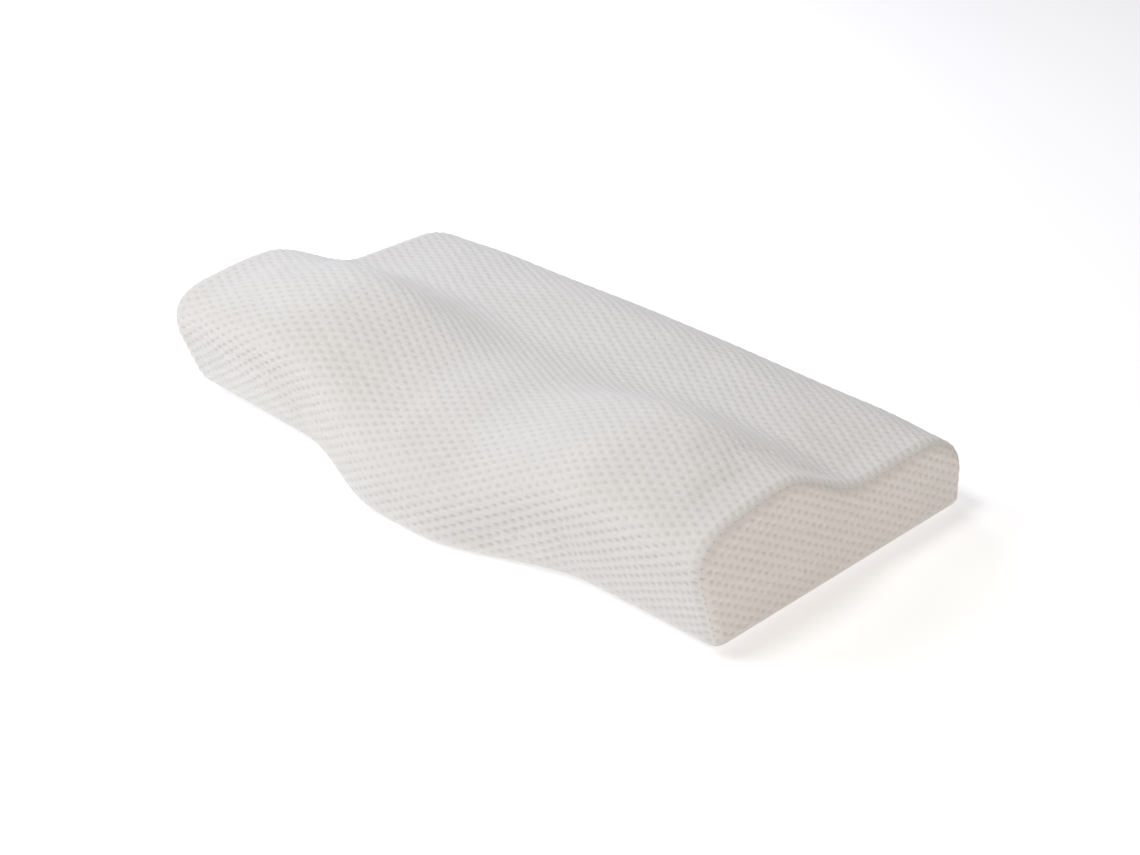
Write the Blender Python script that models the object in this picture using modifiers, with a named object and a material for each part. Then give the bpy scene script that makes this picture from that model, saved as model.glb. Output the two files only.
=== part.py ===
"""Contoured butterfly bed pillow: foam body, inner liner and fitted zip-off knitted cover.

Metres, +Z up. +X runs along the pillow towards its right end, -Y is the front (neck) side and +Y the
back side. The origin is on the base plane, under the middle of the pillow's outer box.
"""

import math

import bmesh
import bpy
from mathutils import Vector

# ---------------------------------------------------------------- driving dimensions
LENGTH = 0.600          # end to end
HALF = LENGTH / 2.0
BACK_Y = 0.1765          # back wall
BACK_BOW = 0.0106       # the back wall curves forward by this much at the ends
BOW_FROM = 0.690        # share of the half length where that curve begins
WING_Y = 0.1350          # front wall of the two wings
LOBE = 0.0450           # the centre of the front bulges forward past the wings
LOBE_FROM = 0.020       # x where the bulge starts to fall back
LOBE_TO = 0.170         # x where it has gone
LEAN_WING = 0.033       # overhang of the front wall at its top, on a wing
LEAN_CENTRE = 0.000     # the same on the centre lobe
WING_FROM = 0.025       # x where the surface starts to rise from the centre saddle
WING_TO = 0.181         # x where it has reached the wing
WING_DROOP = 0.08       # share of the wing's height lost towards the end
LEFT_FROM = 0.130       # past here the left end leans out and rounds under a little more than the right
LEFT_LEAN = 0.0070
LEFT_FOOT_R = 0.0140

# heights of the top surface, in the centre saddle and on a wing, from the front edge to the back edge
EDGE_Z = (0.067, 0.106)
PEAK_Z = (0.091, 0.121)
VALLEY_Z = (0.072, 0.0745)
HUMP_Z = (0.078, 0.075)
BACK_DROP = 0.024       # from the back hump down to the back edge
PEAK_V = 0.319          # where these stand, as shares of the depth from front to back
VALLEY_V = 0.624
HUMP_V = 0.840

FRONT_BOTTOM_R = 0.013  # run of each rounded corner
FRONT_TOP_R = (0.048, 0.046)
BACK_TOP_R = 0.0315
BACK_WALL_LOW = 0.0105   # flat part of the back wall
BACK_WALL_HIGH = 0.0335
END_R = 0.011           # rounding round each end panel
END_TAPER = 0.120       # the ends close in towards the back, per metre of y

COVER_T = 0.0020        # knitted cover
LINER_T = 0.0008        # inner liner
LINER_IN = 0.0032       # outer face of the liner, measured in from the outer skin
FOAM_IN = 0.0046        # outer face of the foam, measured in from the outer skin
SEAM_R = 0.00055        # seam cord in the groove between wrap and end panel

ZIP_Z = 0.0225          # height of the closure on the back wall
SLOT_HALF = 0.0050      # half height of the slot in the cover
SLOT_X = 0.200          # half length of the slot
TAPE_X = 0.2055
TAPE_H = 0.0090
TAPE_T = 0.0005
COIL_H = 0.00245
COIL_T = 0.0017
COIL_X = 0.190
GAP = 0.0003
SLIDER_X = 0.1845       # middle of the slider when the cover is shut
SLIDER_L = 0.0110
SLIDER_T = 0.0010
FLANGE_T = 0.0010
BRIDGE_L = 0.0070
BRIDGE_W = 0.0020
BRIDGE_T = 0.0009
BRIDGE_CLEAR = 0.0015
PULL_L = 0.0240
PULL_W = 0.0056
PULL_T = 0.0009

WRAP_EDGE = math.radians(40.0)   # the wrap and the end panel meet on the rounding, with the seam between them
SEAM_ANGLE = math.radians(48.0)
PANEL_EDGE = math.radians(56.0)
STATIONS_MID = 7
STATIONS_END = 3


# ---------------------------------------------------------------- the contour
def smooth(t):
    """Smooth step: 0 below 0, 1 above 1."""
    t = min(max(t, 0.0), 1.0)
    return t * t * (3.0 - 2.0 * t)


def mix(a, b, t):
    return a + (b - a) * t


def height(v, knots):
    """Height and slope at v of the smooth curve through knots of (v, height, slope)."""
    for (v0, z0, m0), (v1, z1, m1) in zip(knots, knots[1:]):
        if v <= v1 or v1 == 1.0:
            h = v1 - v0
            t = (v - v0) / h
            z = (2 * t**3 - 3 * t**2 + 1) * z0 + (t**3 - 2 * t**2 + t) * h * m0
            z += (3 * t**2 - 2 * t**3) * z1 + (t**3 - t**2) * h * m1
            d = (6 * t**2 - 6 * t) * (z0 - z1) / h
            d += (3 * t**2 - 4 * t + 1) * m0 + (3 * t**2 - 2 * t) * m1
            return z, d
    return knots[-1][1], knots[-1][2]


def corner(a, c, b, steps):
    """Points of the curve that rounds corner c between a and b, without the last one."""
    points = []
    for i in range(steps):
        u = i / steps
        k = ((1 - u) ** 2, 2 * u * (1 - u), u * u)
        points.append((k[0] * a[0] + k[1] * c[0] + k[2] * b[0], k[0] * a[1] + k[1] * c[1] + k[2] * b[1]))
    return points


def straight(a, b, steps):
    return [(mix(a[0], b[0], i / steps), mix(a[1], b[1], i / steps)) for i in range(steps)]


def outline(x):
    """Closed section of the outer skin at x: (y, z) points, up the front, over the top and back underneath."""
    ax = abs(x)
    wing = smooth((ax - WING_FROM) / (WING_TO - WING_FROM))
    lobe = 1.0 - smooth((ax - LOBE_FROM) / (LOBE_TO - LOBE_FROM))
    bow = 2.0 * smooth(0.5 * (ax / HALF - BOW_FROM) / (1.0 - BOW_FROM))
    droop = 1.0 - WING_DROOP * smooth((ax - WING_TO) / (HALF - WING_TO))
    front = -(WING_Y + LOBE * lobe)
    left = smooth((-x - LEFT_FROM) / (HALF - LEFT_FROM))
    lean = mix(LEAN_CENTRE, LEAN_WING, wing) + LEFT_LEAN * left
    foot_r = FRONT_BOTTOM_R + LEFT_FOOT_R * left
    back = BACK_Y - BACK_BOW * bow
    depth = back - (front - lean)

    edge = mix(*EDGE_Z, wing) * droop
    peak = mix(*PEAK_Z, wing) * droop
    hump = mix(*HUMP_Z, wing)
    knots = [
        (0.0, edge, 1.4 * (peak - edge) / PEAK_V),
        (PEAK_V, peak, 0.0),
        (VALLEY_V, mix(*VALLEY_Z, wing), 0.0),
        (HUMP_V, hump, 0.0),
        (1.0, hump - BACK_DROP, -1.6 * BACK_DROP / (1.0 - HUMP_V)),
    ]

    # the top surface between its two rounded edges
    run = mix(*FRONT_TOP_R, wing)
    v_first = run / depth
    v_last = 1.0 - BACK_TOP_R / depth
    top = []
    slopes = []
    for i in range(13):
        v = mix(v_first, v_last, i / 12)
        z, slope = height(v, knots)
        top.append((front - lean + depth * v, z))
        slopes.append(slope / depth)

    # front wall: it leans out as it rises, and meets the top surface's line at the corner point
    wall = math.hypot(edge, lean)
    uy = -lean / wall
    uz = edge / wall
    y0, z0 = top[0]
    k = (z0 + slopes[0] * (front - y0)) / (uz - slopes[0] * uy)
    k_top = max(k - run, 0.3 * k)
    foot = (front + foot_r, 0.0)
    low = (front + uy * foot_r, uz * foot_r)
    high = (front + uy * k_top, uz * k_top)
    apex = (front + uy * k, uz * k)

    # back wall: upright, with a flat stretch for the closure
    yl, zl = top[-1]
    apex_back = (back, zl + slopes[-1] * (back - yl))
    heel = (back - BACK_WALL_LOW, 0.0)

    ring = corner(foot, (front, 0.0), low, 3)
    ring += straight(low, high, 2)
    ring += corner(high, apex, top[0], 6)
    ring += top[:-1]
    ring += corner(top[-1], apex_back, (back, BACK_WALL_HIGH), 4)
    ring += [(back, BACK_WALL_HIGH), (back, ZIP_Z + SLOT_HALF), (back, ZIP_Z - SLOT_HALF)]
    ring += corner((back, BACK_WALL_LOW), (back, 0.0), heel, 3)
    ring += straight(heel, foot, 3)
    return ring


SLOT_COLUMN = 28        # ring edge that spans the slot


def inset(ring, distance):
    """The ring moved inwards by distance."""
    n = len(ring)
    moved = []
    for i, (y, z) in enumerate(ring):
        ay, az = ring[i - 1]
        by, bz = ring[(i + 1) % n]
        ty, tz = by - ay, bz - az
        size = math.hypot(ty, tz)
        moved.append((y + distance * tz / size, z - distance * ty / size))
    return moved


def place(x, ring):
    """Points in space for a section, with the ends closing in towards the back."""
    return [Vector((x * (1.0 - END_TAPER * y), y, z)) for y, z in ring]


def stations():
    right = [SLOT_X * i / STATIONS_MID for i in range(1, STATIONS_MID + 1)]
    bow_x = HALF * BOW_FROM
    rest = HALF - END_R - bow_x
    right += [bow_x + rest * i / STATIONS_END for i in range(STATIONS_END + 1)]
    return [-x for x in reversed(right)] + [0.0] + right


def end_row(side, angle, depth_in):
    """Section on the rounding round an end: angle 0 is the side of the pillow, 90 degrees its end face."""
    r = END_R - depth_in
    ring = inset(outline(side * (HALF - END_R)), depth_in + r * (1.0 - math.cos(angle)))
    return place(side * (HALF - END_R + r * math.sin(angle)), ring)


# ---------------------------------------------------------------- helpers
def wipe():
    for obj in list(bpy.data.objects):
        bpy.data.objects.remove(obj, do_unlink=True)


def collection(name):
    c = bpy.data.collections.new(name)
    bpy.context.scene.collection.children.link(c)
    return c


def material(name, colour, roughness, metallic=0.0):
    m = bpy.data.materials.new(name)
    m.use_nodes = True
    node = m.node_tree.nodes["Principled BSDF"]
    node.inputs["Base Color"].default_value = (*colour, 1.0)
    node.inputs["Roughness"].default_value = roughness
    node.inputs["Metallic"].default_value = metallic
    return m


def add_object(name, data, group, mat, location=(0.0, 0.0, 0.0)):
    obj = bpy.data.objects.new(name, data)
    obj.location = location
    group.objects.link(obj)
    if mat:
        data.materials.append(mat)
    return obj


def loft(name, rows, group, mat, cap_first=False, cap_last=False, skip=None):
    """Skin through rows of points, each row a closed ring, with flat caps where asked."""
    bm = bmesh.new()
    grid = [[bm.verts.new(p) for p in row] for row in rows]
    n = len(grid[0])
    for i in range(len(grid) - 1):
        for j in range(n):
            if skip and skip(i, j):
                continue
            k = (j + 1) % n
            bm.faces.new((grid[i][j], grid[i + 1][j], grid[i + 1][k], grid[i][k]))
    if cap_first:
        bm.faces.new(grid[0])
    if cap_last:
        bm.faces.new(list(reversed(grid[-1])))
    mesh = bpy.data.meshes.new(name)
    bm.to_mesh(mesh)
    bm.free()
    for face in mesh.polygons:
        face.use_smooth = True
    return add_object(name, mesh, group, mat)


def thicken(obj, thickness):
    """Give an outer skin its fabric thickness, inwards."""
    mod = obj.modifiers.new("thickness", "SOLIDIFY")
    mod.thickness = thickness
    mod.offset = -1.0
    mod.use_even_offset = True
    return obj


def box(name, size, centre, group, mat, bevel=0.0, location=(0.0, 0.0, 0.0)):
    """Box of a given size, with its centre placed relative to the object's own origin."""
    bm = bmesh.new()
    bmesh.ops.create_cube(bm, size=1.0)
    for v in bm.verts:
        v.co = Vector((v.co.x * size[0] + centre[0], v.co.y * size[1] + centre[1], v.co.z * size[2] + centre[2]))
    mesh = bpy.data.meshes.new(name)
    bm.to_mesh(mesh)
    bm.free()
    obj = add_object(name, mesh, group, mat, location)
    if bevel:
        mod = obj.modifiers.new("edges", "BEVEL")
        mod.width = bevel
        mod.segments = 1
    return obj


def cord(name, points, radius, group, mat, closed):
    """Thread along points."""
    curve = bpy.data.curves.new(name, "CURVE")
    curve.dimensions = "3D"
    curve.bevel_depth = radius
    curve.bevel_resolution = 1
    curve.use_fill_caps = not closed
    spline = curve.splines.new("POLY")
    spline.points.add(len(points) - 1)
    for point, co in zip(spline.points, points):
        point.co = (*co, 1.0)
    spline.use_cyclic_u = closed
    return add_object(name, curve, group, mat)


def join(obj, tool):
    mod = obj.modifiers.new("join_" + tool.name, "BOOLEAN")
    mod.operation = "UNION"
    mod.object = tool


def cut(obj, tool):
    mod = obj.modifiers.new("cut_" + tool.name, "BOOLEAN")
    mod.operation = "DIFFERENCE"
    mod.object = tool


# ---------------------------------------------------------------- build
wipe()
parts = collection("butterfly_pillow")
tools = collection("tools")

# soft layers, from the outside in
sections = [outline(x) for x in stations()]


def wrap_rows(depth_in):
    """Tube round the pillow, up to the seam at each end."""
    rows = [end_row(-1.0, WRAP_EDGE, depth_in), end_row(-1.0, WRAP_EDGE / 2, depth_in)]
    rows += [place(x, inset(ring, depth_in)) for x, ring in zip(stations(), sections)]
    rows += [end_row(1.0, WRAP_EDGE / 2, depth_in), end_row(1.0, WRAP_EDGE, depth_in)]
    return rows


def end_rows(side, depth_in):
    """Rounded rim and flat face of an end panel."""
    return [end_row(side, angle, depth_in) for angle in (PANEL_EDGE, (PANEL_EDGE + math.pi / 2) / 2, math.pi / 2)]


first_slot_row = 3 + STATIONS_END
last_slot_row = first_slot_row + 2 * STATIONS_MID


def in_slot(i, j):
    return j == SLOT_COLUMN and first_slot_row <= i < last_slot_row


cover_mat = material("knitted_cover", (0.90, 0.89, 0.87), 0.92)
cover = loft("cover_wrap", wrap_rows(0.0), parts, cover_mat, skip=in_slot)
thicken(cover, COVER_T)
liner_mat = material("liner_knit", (0.88, 0.88, 0.87), 0.95)
thicken(loft("liner_wrap", wrap_rows(LINER_IN), parts, liner_mat), LINER_T)

thread_mat = material("seam_thread", (0.78, 0.72, 0.66), 0.8)
for word, side in (("right", 1.0), ("left", -1.0)):
    for layer, depth_in, thick, colour in (
        ("cover", 0.0, COVER_T, (0.88, 0.86, 0.83)),
        ("liner", LINER_IN, LINER_T, (0.88, 0.88, 0.87)),
    ):
        rows = end_rows(side, depth_in)
        if side < 0.0:
            rows.reverse()
        name = f"{layer}_end_{word}"
        panel = loft(name, rows, parts, material(name, colour, 0.93), side < 0.0, side > 0.0)
        thicken(panel, thick)
    seam = end_row(side, SEAM_ANGLE, 1.2 * SEAM_R)
    cord(f"end_seam_thread_{word}", seam, SEAM_R, parts, thread_mat, True)

rows = [end_row(-1.0, angle, FOAM_IN) for angle in (math.pi / 2, math.pi / 4)]
rows += [place(x, inset(ring, FOAM_IN)) for x, ring in zip(stations(), sections)]
rows += [end_row(1.0, angle, FOAM_IN) for angle in (math.pi / 4, math.pi / 2)]
foam_mat = material("memory_foam", (0.93, 0.90, 0.80), 0.85)
loft("foam_core", rows, parts, foam_mat, cap_first=True, cap_last=True)

# closure on the back wall: y is measured out from the cover's outer face
tape_mat = material("zip_tape", (0.90, 0.90, 0.89), 0.9)
coil_mat = material("zip_coil", (0.93, 0.93, 0.92), 0.45)
tape_y = BACK_Y - COVER_T - GAP - TAPE_T / 2
coil_y = BACK_Y - COVER_T + COIL_T / 2
stitch_y = BACK_Y + GAP + 0.00025
for word, side in (("upper", 1.0), ("lower", -1.0)):
    z = ZIP_Z + side * (GAP / 2 + TAPE_H / 2)
    box(f"zip_tape_{word}", (2 * TAPE_X, TAPE_T, TAPE_H), (0, 0, 0), parts, tape_mat, 0.0, (0, tape_y, z))
    z = ZIP_Z + side * (GAP / 2 + COIL_H / 2)
    size = (2 * COIL_X, COIL_T, COIL_H)
    box(f"zip_coil_{word}", size, (0, 0, 0), parts, coil_mat, 0.0005, (0, coil_y, z))
    z = ZIP_Z + side * (SLOT_HALF + 0.0020)
    ends = [Vector((x, stitch_y, z)) for x in (-SLOT_X, -SLOT_X / 2, 0.0, SLOT_X / 2, SLOT_X)]
    cord(f"zip_stitching_{word}", ends, 0.00025, parts, thread_mat, False)

metal = material("zip_metal", (0.80, 0.80, 0.80), 0.35, 0.9)
flange_in = GAP / 2 + COIL_H + GAP
stop_size = (0.0036, COIL_T, 2 * flange_in)
stop_x = COIL_X + GAP + stop_size[0] / 2
box("zip_stop_closed", stop_size, (0, 0, 0), parts, metal, 0.0003, (stop_x, coil_y, ZIP_Z))
box("zip_stop_open", stop_size, (0, 0, 0), parts, metal, 0.0003, (-stop_x, coil_y, ZIP_Z))

# slider: a plate over the teeth with a flange down each side and a bridge on top
plate_in = coil_y + COIL_T / 2 + GAP
width = 2 * (flange_in + FLANGE_T)
pivot = Vector((SLIDER_X, plate_in + SLIDER_T + BRIDGE_CLEAR / 2, ZIP_Z))
slider_at = (SLIDER_X, plate_in, ZIP_Z)
slider = box("zip_slider", (SLIDER_L, SLIDER_T, width), (0, SLIDER_T / 2, 0), parts, metal, 0.0, slider_at)
overlap = 0.0004
for word, side in (("up", 1.0), ("down", -1.0)):
    drop = COIL_T + GAP
    size = (SLIDER_L - 0.0012, drop + overlap, FLANGE_T)
    centre = (0, (overlap - drop) / 2, side * (flange_in + FLANGE_T / 2 - 0.00002))
    join(slider, box("flange_" + word, size, centre, tools, None, 0.0, slider_at))
rise = BRIDGE_CLEAR + BRIDGE_T
size = (BRIDGE_L, rise + overlap, BRIDGE_W)
arch = box("bridge", size, (0, SLIDER_T + (rise - overlap) / 2, 0), tools, None, 0.0, slider_at)
window = (BRIDGE_L - 2 * BRIDGE_T, BRIDGE_CLEAR, BRIDGE_W * 2)
centre = (0, SLIDER_T + BRIDGE_CLEAR / 2, 0)
join(slider, arch)
cut(slider, box("bridge_window", window, centre, tools, None, 0.0, slider_at))

# pull tab: a blade with a window; the bar beside the window lies under the slider's bridge
half_bar = PULL_T / 2
pull = box(
    "zip_pull", (PULL_L + half_bar, PULL_T, PULL_W), ((half_bar - PULL_L) / 2, 0, 0), parts, metal, 0.0, pivot
)
window_l = BRIDGE_L / 2 + 0.0006
window = (window_l, PULL_T * 3, BRIDGE_W + 0.0007)
cut(pull, box("pull_window", window, (-half_bar - window_l / 2, 0, 0), tools, None, 0.0, pivot))
mod = pull.modifiers.new("edges", "BEVEL")
mod.width = 0.00015
mod.segments = 1

for tool in tools.objects:
    tool.hide_render = True
    tool.display_type = "WIRE"
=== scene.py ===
"""Contoured butterfly bed pillow: the visual model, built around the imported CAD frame.

Metres, +Z up. +X runs along the pillow towards its right end, -Y is the front (neck) side.
"""

import math

import bmesh
import bpy
import numpy as np
from mathutils import Matrix, Vector
from mathutils.kdtree import KDTree


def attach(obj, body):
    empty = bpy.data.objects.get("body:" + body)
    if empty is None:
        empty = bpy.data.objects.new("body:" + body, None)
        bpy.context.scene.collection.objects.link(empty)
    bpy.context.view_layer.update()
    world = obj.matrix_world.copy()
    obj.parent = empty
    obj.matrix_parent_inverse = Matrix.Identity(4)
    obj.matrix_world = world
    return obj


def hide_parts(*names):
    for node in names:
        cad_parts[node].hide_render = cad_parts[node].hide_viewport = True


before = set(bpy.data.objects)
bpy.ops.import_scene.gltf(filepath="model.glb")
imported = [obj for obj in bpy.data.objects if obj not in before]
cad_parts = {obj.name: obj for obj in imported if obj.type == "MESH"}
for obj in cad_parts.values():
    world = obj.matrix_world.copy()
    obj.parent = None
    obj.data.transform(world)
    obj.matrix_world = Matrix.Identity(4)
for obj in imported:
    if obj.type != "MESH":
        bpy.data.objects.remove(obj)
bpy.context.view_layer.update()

# ---------------------------------------------------------------- the pillow's contour, as in the CAD
LENGTH = 0.600
HALF = LENGTH / 2.0
BACK_Y = 0.1765
BACK_BOW = 0.0106
BOW_FROM = 0.690
WING_Y = 0.1350
LOBE = 0.0450
LOBE_FROM = 0.020
LOBE_TO = 0.170
LEAN_WING = 0.033
WING_FROM = 0.025
WING_TO = 0.181
WING_DROOP = 0.08
EDGE_Z = (0.067, 0.106)
PEAK_Z = (0.091, 0.121)
VALLEY_Z = (0.072, 0.0745)
HUMP_Z = (0.078, 0.075)
BACK_DROP = 0.024
PEAK_V = 0.319
VALLEY_V = 0.624
HUMP_V = 0.840
FRONT_BOTTOM_R = 0.013
FRONT_TOP_R = (0.048, 0.046)
BACK_TOP_R = 0.0315
BACK_WALL_LOW = 0.0105
BACK_WALL_HIGH = 0.0335
END_R = 0.011
END_TAPER = 0.120
COVER_T = 0.0020
LINER_IN = 0.0032
FOAM_IN = 0.0046
ZIP_Z = 0.0225
SLOT_HALF = 0.0050
SLOT_X = 0.200
TAPE_X = 0.2055
TAPE_H = 0.0090
TAPE_T = 0.0005
COIL_H = 0.00245
COIL_T = 0.0017
COIL_X = 0.190
GAP = 0.0003
STITCH_LINE = 0.0020     # from the slot's edge to the stitching along it
LEFT_FROM = 0.130        # the left end leans and rounds a little more than the right
LEFT_LEAN = 0.0070
LEFT_FOOT_R = 0.0140
WRAP_EDGE = math.radians(40.0)
PANEL_EDGE = math.radians(56.0)
WRAP_HEM = math.radians(47.8)    # the fabric of the wrap and of the end panel meet in a fine valley
PANEL_HEM = math.radians(48.2)
VALLEY = math.radians(48.0)
BRINK = math.radians(0.9)        # a narrow strip along each hem keeps the rest of the rounding evenly shaded
HEMS = ((math.radians(47.9), 0.00008), (math.radians(47.9), 0.0007), (math.radians(47.7), 0.0020))
PANEL_HEMS = ((math.radians(48.3), 0.0020), (math.radians(48.1), 0.0007), (math.radians(48.1), 0.00008))
RIM_STEPS = 6            # rows round the rim of an end panel
PANEL_U, PANEL_V = 240, 80         # mesh steps across the face of an end panel

# ---------------------------------------------------------------- the knit: dimples on a staggered grid
COLUMN = 0.0075          # between columns of dimples, along the pillow
PITCH = 0.0087           # between dimples of one column
CELLS = 4                # mesh steps in one of either
DIMPLE_DEPTH = 0.00090
DIMPLE_SIGMA = (0.0018, 0.0014)    # half widths along the pillow and across it
BUBBLE = 0.00045         # the fabric puffs up between the dimples
FRONT_RELIEF = 0.35      # so much stronger where the fabric is stretched less, down the front
PANEL_RELIEF = 0.55      # and weaker on the end panels
GATHER = 0.0005          # how far a stitch of an end seam pulls the fabric in
GATHER_REACH = (0.0022, 0.0018)    # how far from the seam that is felt, in the wrap and in an end panel
STAND_OFF = 0.0002       # the fabric between the dimples stands this far off the contour
SEAM_THREAD_R = 0.00042
PANEL_G = ((136.7, 27.3), (2.0, 107.5))   # columns and dimples per metre of y and z, on an end panel

FINE = 12                # how much finer than the CAD the contour is sampled
SLOT_CELLS = 5
VOXEL = 0.006            # the cloth's mesh size
FRAMES = 20
PRESSURE = 4.0
PUFF_CAP = 0.006
PUFF_RANGE = (-0.0012, 0.0028)     # how far the cloth's result may move the fabric, less the mean
END_PUFF_RANGE = (-0.0006, 0.0030)
END_STAND_OFF = 0.0006   # an end panel's fabric stands this much further out
QUICK_BULGE = 0.0016
START_IN = 0.002         # the cloth starts this far inside the skin


def smooth(t):
    t = min(max(t, 0.0), 1.0)
    return t * t * (3.0 - 2.0 * t)


def smooth_all(t):
    t = np.clip(t, 0.0, 1.0)
    return t * t * (3.0 - 2.0 * t)


def mix(a, b, t):
    return a + (b - a) * t


def height(v, knots):
    """Height and slope at v of the smooth curve through knots of (v, height, slope)."""
    for (v0, z0, m0), (v1, z1, m1) in zip(knots, knots[1:]):
        if v <= v1 or v1 == 1.0:
            h = v1 - v0
            t = (v - v0) / h
            z = (2 * t**3 - 3 * t**2 + 1) * z0 + (t**3 - 2 * t**2 + t) * h * m0
            z += (3 * t**2 - 2 * t**3) * z1 + (t**3 - t**2) * h * m1
            d = (6 * t**2 - 6 * t) * (z0 - z1) / h
            d += (3 * t**2 - 4 * t + 1) * m0 + (3 * t**2 - 2 * t) * m1
            return z, d
    return knots[-1][1], knots[-1][2]


def corner(a, c, b, steps):
    """Points of the curve that rounds corner c between a and b, without the last one."""
    points = []
    for i in range(steps):
        u = i / steps
        k = ((1 - u) ** 2, 2 * u * (1 - u), u * u)
        points.append(tuple(k[0] * a[n] + k[1] * c[n] + k[2] * b[n] for n in (0, 1)))
    return points


def section(x, fine=FINE):
    """The outer skin at x in three lines of (y, z): front foot to the slot, slot to heel, and the base."""
    ax = abs(x)
    wing = smooth((ax - WING_FROM) / (WING_TO - WING_FROM))
    lobe = 1.0 - smooth((ax - LOBE_FROM) / (LOBE_TO - LOBE_FROM))
    bow = 2.0 * smooth(0.5 * (ax / HALF - BOW_FROM) / (1.0 - BOW_FROM))
    droop = 1.0 - WING_DROOP * smooth((ax - WING_TO) / (HALF - WING_TO))
    front = -(WING_Y + LOBE * lobe)
    left = smooth((-x - LEFT_FROM) / (HALF - LEFT_FROM))
    lean = LEAN_WING * wing + LEFT_LEAN * left
    foot_r = FRONT_BOTTOM_R + LEFT_FOOT_R * left
    back = BACK_Y - BACK_BOW * bow
    depth = back - (front - lean)
    edge = mix(*EDGE_Z, wing) * droop
    peak = mix(*PEAK_Z, wing) * droop
    hump = mix(*HUMP_Z, wing)
    knots = [
        (0.0, edge, 1.4 * (peak - edge) / PEAK_V),
        (PEAK_V, peak, 0.0),
        (VALLEY_V, mix(*VALLEY_Z, wing), 0.0),
        (HUMP_V, hump, 0.0),
        (1.0, hump - BACK_DROP, -1.6 * BACK_DROP / (1.0 - HUMP_V)),
    ]
    run = mix(*FRONT_TOP_R, wing)
    v_first = run / depth
    v_last = 1.0 - BACK_TOP_R / depth
    top = []
    slopes = []
    for i in range(12 * fine + 1):
        v = mix(v_first, v_last, i / (12 * fine))
        z, slope = height(v, knots)
        top.append((front - lean + depth * v, z))
        slopes.append(slope / depth)
    wall = math.hypot(edge, lean)
    uy = -lean / wall
    uz = edge / wall
    y0, z0 = top[0]
    k = (z0 + slopes[0] * (front - y0)) / (uz - slopes[0] * uy)
    k_top = max(k - run, 0.3 * k)
    foot = (front + foot_r, 0.0)
    low = (front + uy * foot_r, uz * foot_r)
    high = (front + uy * k_top, uz * k_top)
    apex = (front + uy * k, uz * k)
    yl, zl = top[-1]
    apex_back = (back, zl + slopes[-1] * (back - yl))
    heel = (back - BACK_WALL_LOW, 0.0)
    over = corner(foot, (front, 0.0), low, 3 * fine) + [low]
    over += corner(high, apex, top[0], 6 * fine) + top[:-1]
    over += corner(top[-1], apex_back, (back, BACK_WALL_HIGH), 4 * fine)
    over += [(back, BACK_WALL_HIGH), (back, ZIP_Z + SLOT_HALF)]
    under = [(back, ZIP_Z - SLOT_HALF)] + corner((back, BACK_WALL_LOW), (back, 0.0), heel, 3 * fine) + [heel]
    return np.array(over), np.array(under), np.array([heel, foot])


def spaced(line, steps):
    """The line in equal steps along its length, without its last point."""
    d = np.r_[0.0, np.cumsum(np.hypot(*np.diff(line, axis=0).T))]
    at = np.arange(steps) / steps * d[-1]
    return np.stack([np.interp(at, d, line[:, 0]), np.interp(at, d, line[:, 1])], 1)


def length(line):
    return float(np.hypot(*np.diff(line, axis=0).T).sum())


def inset(ring, distance):
    """A closed ring moved inwards."""
    t = np.roll(ring, -1, 0) - np.roll(ring, 1, 0)
    t /= np.linalg.norm(t, axis=1)[:, None]
    return ring + distance * np.stack([t[:, 1], -t[:, 0]], 1)


def place(x, ring):
    return np.stack([x * (1.0 - END_TAPER * ring[:, 0]), ring[:, 0], ring[:, 1]], 1)


def ring_at(x, counts, fine=FINE):
    """Closed ring of (y, z) at x, with counts steps over the top, in the slot, below it and underneath."""
    over, under, base = section(x, fine)
    slot = np.array([over[-1], under[0]])
    return np.vstack([spaced(line, n) for line, n in zip((over, slot, under, base), counts)])


def on_end(side, ring, angle, depth_in):
    """A row on the rounding round an end: angle 0 is the side of the pillow, 90 degrees its end face."""
    r = END_R - depth_in
    x = side * (HALF - END_R + r * math.sin(angle))
    return place(x, inset(ring, depth_in + r * (1.0 - math.cos(angle))))


def shell_rows(depth_in, x_steps, counts, angles):
    rows = [on_end(-1.0, ring_at(END_R - HALF, counts, 3), a, depth_in) for a in reversed(angles)]
    for x in np.linspace(-(HALF - END_R), HALF - END_R, x_steps + 1):
        rows.append(place(x, inset(ring_at(x, counts, 3), depth_in)))
    rows += [on_end(1.0, ring_at(HALF - END_R, counts, 3), a, depth_in) for a in angles]
    return np.stack(rows)


# ---------------------------------------------------------------- mesh helpers
def mesh_object(name, verts, faces):
    mesh = bpy.data.meshes.new(name)
    mesh.from_pydata([tuple(v) for v in verts], [], [tuple(int(k) for k in f) for f in faces])
    mesh.update()
    mesh.polygons.foreach_set("use_smooth", [True] * len(mesh.polygons))
    obj = bpy.data.objects.new(name, mesh)
    bpy.context.scene.collection.objects.link(obj)
    return obj


def grid_faces(rows, cols, closed=True, skip=None):
    """Quads of a grid of rows x cols vertices, outward for rows along +X of rings that go up the front."""
    i = np.repeat(np.arange(rows - 1), cols if closed else cols - 1)
    j = np.tile(np.arange(cols if closed else cols - 1), rows - 1)
    if skip is not None:
        keep = ~skip(i, j)
        i, j = i[keep], j[keep]
    k = (j + 1) % cols
    return np.stack([i * cols + j, (i + 1) * cols + j, (i + 1) * cols + k, i * cols + k], 1)


def add_uv(obj, uv, closed=None):
    """Lattice coordinates. closed is the columns of a grid of rings, and v after a full turn."""
    layer = obj.data.uv_layers.new(name="lattice")
    index = np.zeros(len(obj.data.loops), np.int32)
    obj.data.loops.foreach_get("vertex_index", index)
    corners = np.asarray(uv, np.float32)[index]
    if closed:
        columns, full_turn = closed
        last = index.reshape(-1, 4)[:, 0] % columns == columns - 1
        corners.reshape(-1, 4, 2)[last, 2:, 1] = full_turn
    layer.data.foreach_set("uv", corners.ravel())


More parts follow.
